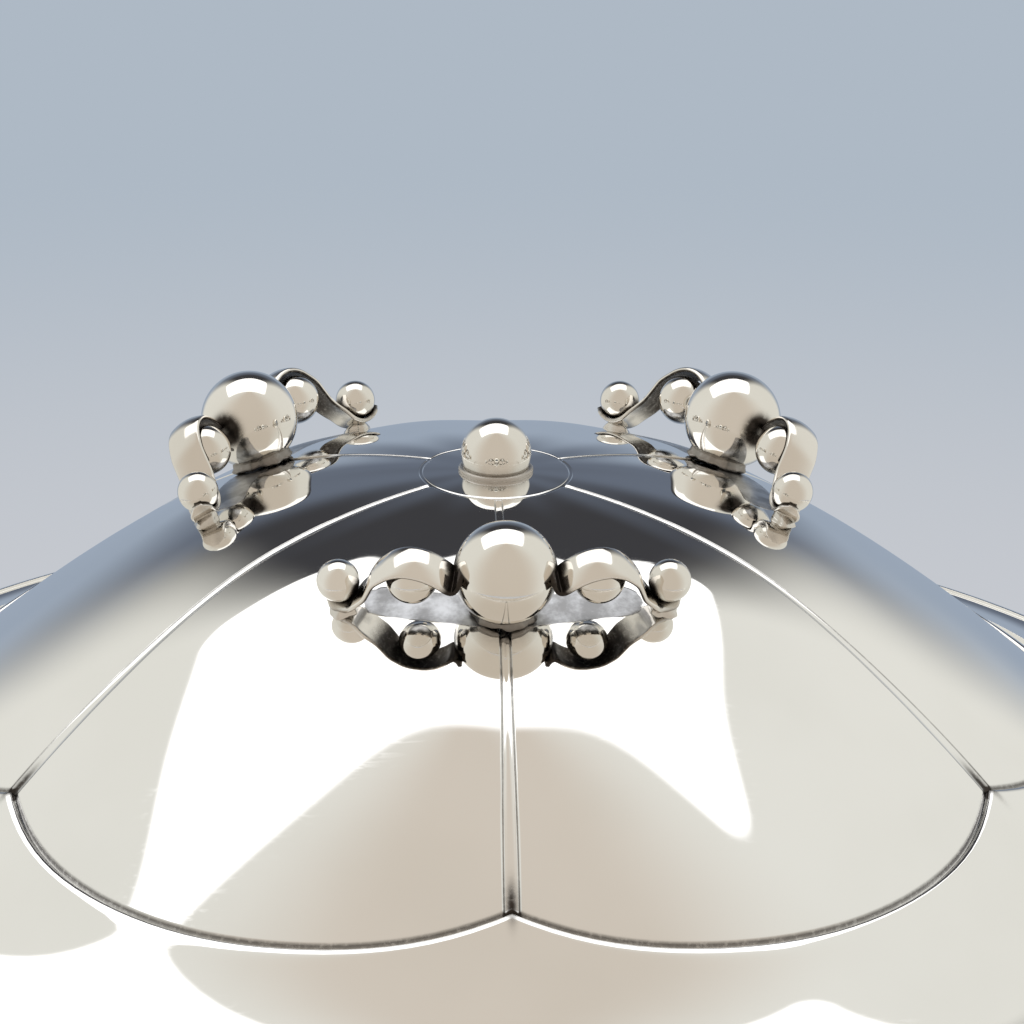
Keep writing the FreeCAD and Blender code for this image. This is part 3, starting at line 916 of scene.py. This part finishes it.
def ribbon(place, line, end_along, end_down, share):
    """Sweeps the strap's section along its line, narrower at both ends and crowned in between."""
    tangent = np.gradient(line, axis=0)
    tangent /= np.linalg.norm(tangent, axis=1, keepdims=True)
    normal = np.stack([-tangent[:, 1], tangent[:, 0]], -1)
    centre_down = STRAP_OUT + np.clip(line[:, 0] / end_along, 0, 1) * end_down
    narrow = 1 - 0.22 * step(share, 0.12, 0.0) - 0.30 * step(share, 0.76, 0.93)
    narrow = narrow * np.sqrt(1 - (0.92 * step(share, 0.93, 1.0)) ** 2)
    crown = CROWN * step(share, 0.04, 0.2) * (1 - 0.8 * step(share, 0.55, 0.8))
    across, off = strap_section(STRAP_WIDTH, STRAP_THICKNESS).T
    bend = (across / (STRAP_WIDTH / 2)) ** 2
    grid = []
    for i in range(len(line)):
        lift = off - crown[i] * bend
        along = line[i, 0] + normal[i, 0] * lift
        up = line[i, 1] + normal[i, 1] * lift
        grid.append(place(along, up, centre_down[i] + across * narrow[i]))
    return np.array(grid), off


def make_strap(name, side, middle, end, material, balls, shape, seed):
    place = wrapper(side, middle)
    end_along, end_up, end_down = from_middle(middle, end, side)
    line = strap_line(end_along, end_up, *shape)
    share = np.linspace(0, 1, len(line))
    grid, off = ribbon(place, line, end_along, end_down, share)
    points, faces = capped_grid(grid, tuple(grid[0].mean(0)), tuple(grid[-1].mean(0)))
    wobble = drift(points, *STRAP_HAND, seed)
    points = points + np.stack([wobble, -wobble, 0.5 * wobble], -1)
    # A darker inner face, painted shade in the valley, and painted shade near the balls and the dome.
    inside = INSIDE_DARKENING * (1 - step(share, *INSIDE_FADE))[:, None] * (off < 0)
    valley = CREVICE_SHADE * np.exp(-((line[:, 0] - VALLEY_MIDDLE) / VALLEY_REACH) ** 4)
    inner_dark_and_shade = np.maximum(inside, valley[:, None]).ravel()
    tarnish_and_shade = CREVICE_SHADE * gap_shade(points, *balls, None, STRAP_CREVICE)
    tarnish_and_shade[: len(inner_dark_and_shade)] = np.maximum(tarnish_and_shade[: len(inner_dark_and_shade)], inner_dark_and_shade)

    rows = solder_lump(place, end_along, end_up, end_down, seed)
    lump, lump_faces = capped_grid(rows, tuple(rows[0].mean(0)), tuple(rows[-1].mean(0)))
    base = len(points)
    points = np.vstack([points, lump])
    faces = faces + [tuple(base + i for i in face) for face in lump_faces]
    values = {
        "tarnish_and_shade": np.concatenate([tarnish_and_shade, np.full(len(lump), LUMP_TARNISH)]),
        "solder": np.concatenate([np.zeros(base), np.full(len(lump), LUMP_SOLDER)]),
    }
    return mesh_object(name, points, faces, material, None, values)


COLLAR_SIZE = 0.46          # half the width and half the height of a collar's section
COLLAR_INNER = 0.6          # share of that width on the upper side
COLLAR_LOW = 0.12
COLLAR_WAVES = ((0.13, 3), (0.09, 7), (0.06, 13))           # size and number round the collar
COLLAR_TARNISH = 0.42
COLLAR_SOLDER = 0.25


def make_collar(name, centre, radius, ball_radius, material, seed):
    """Uneven ring of solder that holds a ball on the dome."""
    r = math.hypot(centre[0], centre[1])
    slope = (dome_z(r + 0.5) - dome_z(r - 0.5)) if r > 1 else 0.0
    outward = np.array([centre[0] / r, centre[1] / r, 0]) if r > 1 else np.array([1.0, 0, 0])
    normal = np.array([0, 0, 1.0]) - outward * slope
    normal /= np.linalg.norm(normal)
    first = np.cross(normal, [0.3, 1.0, 0.1])
    first /= np.linalg.norm(first)
    second = np.cross(normal, first)
    turn = np.linspace(0, 2 * math.pi, 72, endpoint=False)
    rim = np.cos(turn)[:, None] * first + np.sin(turn)[:, None] * second
    rows = []
    top = -math.sqrt(max(ball_radius ** 2 - radius ** 2, 0.1))
    rng = np.random.default_rng(seed)
    shifts = rng.uniform(0, 6.28, len(COLLAR_WAVES))
    uneven = sum(size * np.cos(number * turn + shift) for (size, number), shift in zip(COLLAR_WAVES, shifts))
    for degrees in np.linspace(0, 360, 14, endpoint=False):
        angle = math.radians(degrees)
        spread = 1.0 if math.sin(angle) < 0 else COLLAR_INNER
        wide = radius + (COLLAR_SIZE + uneven) * math.cos(angle) * spread
        high = top - COLLAR_LOW + (COLLAR_SIZE + 0.6 * uneven) * math.sin(angle)
        rows.append(centre + rim * wide[:, None] + normal * high[:, None])
    grid = np.array(rows)
    faces = ring_faces(len(rows), len(turn), wrap_rows=True)
    points = grid.reshape(-1, 3)
    points[:, 2] = np.maximum(points[:, 2], on_dome(points) - COLLAR_SINK)
    values = {"tarnish_and_shade": np.full(len(points), COLLAR_TARNISH), "solder": np.full(len(points), COLLAR_SOLDER)}
    return mesh_object(name, points, faces, material, None, values)


STRAP_SHAPES = {
    # lip height, arch top, lean of the bridge, end of the curl in degrees
    "front": ((1.22, 2.72, 0.05, 306.0), (1.18, 2.68, 0.0, 310.0)),
    "right": ((1.20, 2.66, 0.0, 345.0), (1.14, 2.72, 0.08, 335.0)),
    "left": ((1.16, 2.64, 0.06, 340.0), (1.22, 2.70, 0.0, 350.0)),
}
COLLAR_RADIUS = 2.15
LARGE_COLUMNS = 144
ROOT_SHARE = 0.53           # painted shade of a gap lies this far along from the large ball to a middle ball
ROOT_RISE = 0.4
ROOT_RADIUS = 0.75
HELD_SHARE = 0.32           # and another where the strap holds an end ball
HELD_DROP = 0.8
HELD_RADIUS = 0.25
UP = np.array([0.0, 0.0, 1.0])
BALL_SEED = 30
COLLAR_SEED = 40
SMALL_SEED = 50


def make_ornaments(bead, strap_material, solder_material):
    for number, name in enumerate(ORNAMENTS):
        large = ball_centre(name + "_large_ball", LARGE_RADIUS)
        middles, ends = [], []
        for label in "ab":
            middles.append(ball_centre(f"{name}_middle_ball_{label}", MIDDLE_RADIUS, large))
            ends.append(ball_centre(f"{name}_end_ball_{label}", END_RADIUS))
        balls = ([large] + middles + ends, [LARGE_RADIUS] + [MIDDLE_RADIUS] * 2 + [END_RADIUS] * 2)
        # Spheres at the strap roots that serve only to paint shade on the balls near them.
        roots = [large + (middle - large) * ROOT_SHARE + UP * ROOT_RISE for middle in middles]
        rooted = (balls[0] + roots, balls[1] + [ROOT_RADIUS] * 2)
        seed = BALL_SEED + number
        piece = make_ball(name + "_bead_large", large, LARGE_RADIUS, bead, rooted, 0, seed, LARGE_COLUMNS)
        seat(piece, name + "_large_ball")
        seed = COLLAR_SEED + number
        piece = make_collar(name + "_bead_collar", large, COLLAR_RADIUS, LARGE_RADIUS, solder_material, seed)
        seat(piece, name + "_ball_collar")
        for i, (label, side) in enumerate((("a", -1), ("b", 1))):
            seed = SMALL_SEED + 4 * number + i
            middle, end = middles[i], ends[i]
            piece = make_ball(f"{name}_bead_middle_{label}", middle, MIDDLE_RADIUS, bead, rooted, 1 + i, seed)
            seat(piece, f"{name}_middle_ball_{label}")
            # And one where the strap holds the end ball, also only to paint shade on it.
            held = end + (middle - end) * HELD_SHARE - UP * HELD_DROP
            near = (balls[0] + [held], balls[1] + [HELD_RADIUS])
            piece = make_ball(f"{name}_bead_end_{label}", end, END_RADIUS, bead, near, 3 + i, seed + 20)
            seat(piece, f"{name}_end_ball_{label}")
            piece = make_strap(f"{name}_scroll_{label}", side, middle, end, strap_material, balls,
                               STRAP_SHAPES[name][i], seed + 40)
            seat(piece, f"{name}_strap_{label}")


FINIAL_SEED = 90
FINIAL_COLUMNS = 128
FINIAL_SEAT = (2.67, 0.12)  # radius and height of the middle of the seat's section
FINIAL_SEAT_HALF = (0.34, 0.3)
FINIAL_SINK = 0.05


def make_finial(bead, solder_material):
    centre = ball_centre("finial_ball", FINIAL_RADIUS)
    balls = ([centre], [FINIAL_RADIUS])
    ball = make_ball("finial_bead", centre, FINIAL_RADIUS, bead, balls, 0, FINIAL_SEED, FINIAL_COLUMNS)
    seat(ball, "finial_ball")
    turn = np.linspace(0, 2 * math.pi, 96, endpoint=False)
    base = APEX_Z - FINIAL_SINK
    (radius, height), (half_width, half_height) = FINIAL_SEAT, FINIAL_SEAT_HALF
    profile = [(radius + half_width * math.cos(a), base + height + half_height * math.sin(a))
               for a in np.linspace(0, 2 * math.pi, 16, endpoint=False)]
    ring = revolved("finial_seat", profile, turn, solder_material)
    seat(ring, "finial_collar")


# ---------------------------------------------------------------- bowl, rims, foot and bezel
def arc_points(centre, radius, start, end, count):
    return [(centre[0] + radius * math.cos(math.radians(a)), centre[1] + radius * math.sin(math.radians(a)))
            for a in np.linspace(start, end, count)]


def make_bowl(material):
    low, high = (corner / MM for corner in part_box("bowl_body"))
    mouth, reach = high.z, high.x
    depth = mouth - low.z
    angles = np.radians(np.linspace(-90, -0.8, 60))
    outer = [(reach * math.cos(a), mouth + depth * math.sin(a)) for a in angles]
    inner = [((reach - SHEET) * math.cos(a), mouth + (depth - SHEET) * math.sin(a)) for a in angles[::-1]]
    lip = arc_points((reach - SHEET / 2, mouth - 0.42), 0.42, 0, 180, 9)
    outer[0] = (0.0, low.z)
    inner[-1] = (0.0, low.z + SHEET)
    turn = np.linspace(0, 2 * math.pi, 256, endpoint=False)
    bowl = revolved("bowl_wall", outer + lip + inner, turn, material)
    seat(bowl, "bowl_body", "bowl")


def make_rim(name, node, inner_radius, body, material):
    low, high = (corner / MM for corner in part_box(node))
    half = (high.z - low.z) / 2
    middle = (high.z + low.z) / 2
    bulge = high.x - inner_radius
    outline = [(inner_radius + 0.02, low.z + 0.02)]
    outline += [(inner_radius + bulge * math.cos(a), middle + half * math.sin(a))
                for a in np.radians(np.linspace(-88, 88, 22))]
    outline += [(inner_radius + 0.02, high.z - 0.02)]
    turn = np.linspace(0, 2 * math.pi, 288, endpoint=False)
    seat(revolved(name, outline, turn, material), node, body)


def make_foot(material):
    low, high = (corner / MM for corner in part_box("foot_ring"))
    reach = high.x
    outline = flowing([
        (reach - 0.9, low.z + 0.25), (reach - 0.25, low.z + 0.3), (reach, low.z + 0.75),
        (reach - 0.3, low.z + 1.25), (reach - 1.1, low.z + 1.75), (reach - 2.2, low.z + 2.9),
        (reach - 2.75, low.z + 4.6), (reach - 2.6, low.z + 6.6), (reach - 2.5, high.z - 0.35),
    ], 0.25).tolist()
    outline += [(reach - 4.3, high.z - 0.25)]
    outline += flowing([
        (reach - 4.6, high.z - 1.0), (reach - 5.2, low.z + 4.4), (reach - 4.7, low.z + 2.4),
        (reach - 3.3, low.z + 0.8), (reach - 2.9, low.z),
    ], 0.3).tolist()
    outline += [(reach - 1.2, low.z)]
    turn = np.linspace(0, 2 * math.pi, 192, endpoint=False)
    outline = [tuple(p) for p in outline]
    seat(revolved("foot_flare", outline, turn, material), "foot_ring", "bowl")


def make_bezel(material):
    low, high = (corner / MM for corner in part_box("lid_bezel"))
    wall = BEZEL_WALL
    outer = BEZEL_RADIUS
    edge = LID_EDGE_Z
    outline = [
        (outer - wall + 0.15, low.z), (outer - 0.15, low.z), (outer, low.z + 0.15), (outer, edge - 0.05),
        (high.x - 0.1, edge), (high.x, edge + 0.1), (high.x, edge + 0.55), (outer, edge + 0.9),
        (outer - wall + 0.1, edge + 1.0), (outer - wall, edge + 0.9), (outer - wall, low.z + 0.15),
    ]
    turn = np.linspace(0, 2 * math.pi, 256, endpoint=False)
    piece = revolved("lid_inner_band", outline, turn, material)
    sharpen(piece, 40)
    seat(piece, "lid_bezel")


def sharpen(thing, degrees):
    """Keeps the edges of a turned piece crisp."""
    with bpy.context.temp_override(object=thing, active_object=thing, selected_editable_objects=[thing]):
        bpy.ops.object.shade_smooth_by_angle(angle=math.radians(degrees))


# ---------------------------------------------------------------- build
bpy.context.scene.view_settings.view_transform = "Standard"
add_camera()
add_world()
add_stage()

LID_SILVER = silver("lid_silver_polished", (0.955, 0.95, 0.94), (0.92, 0.915, 0.90), 0.03)
BOWL_SILVER = silver("bowl_silver_polished", (0.95, 0.945, 0.93), (0.91, 0.90, 0.88), 0.045)
RIM_SILVER = silver("rim_silver_polished", (0.95, 0.94, 0.92), (0.88, 0.86, 0.83), 0.05)
BEZEL_SILVER = silver("bezel_silver_worn", (0.90, 0.88, 0.85), (0.80, 0.77, 0.73), 0.12, scratch=1.5)
BEAD_TONES = ((0.90, 0.875, 0.83), (0.82, 0.79, 0.735))
BEAD_SILVER = silver("bead_silver_cast", *BEAD_TONES, 0.06, scratch=0.5, pits=0.12)
STRAP_TONES = ((0.90, 0.87, 0.825), (0.80, 0.765, 0.71))
STRAP_SILVER = silver("strap_silver_drawn", *STRAP_TONES, 0.085, pits=0.08, wave=0.05)
SOLDER_SILVER = silver("solder_silver_dull", (0.62, 0.59, 0.55), (0.42, 0.39, 0.36), 0.30, scratch=0.5)

make_lid(LID_SILVER)
make_ornaments(BEAD_SILVER, STRAP_SILVER, SOLDER_SILVER)
make_finial(BEAD_SILVER, SOLDER_SILVER)
make_bowl(BOWL_SILVER)
make_rim("bowl_rim_bead", "bowl_rim_wire", BOWL_RADIUS, "bowl", RIM_SILVER)
make_rim("lid_rim_bead", "lid_rim_wire", LID_RADIUS, "lid", RIM_SILVER)
make_foot(BOWL_SILVER)
make_bezel(BEZEL_SILVER)
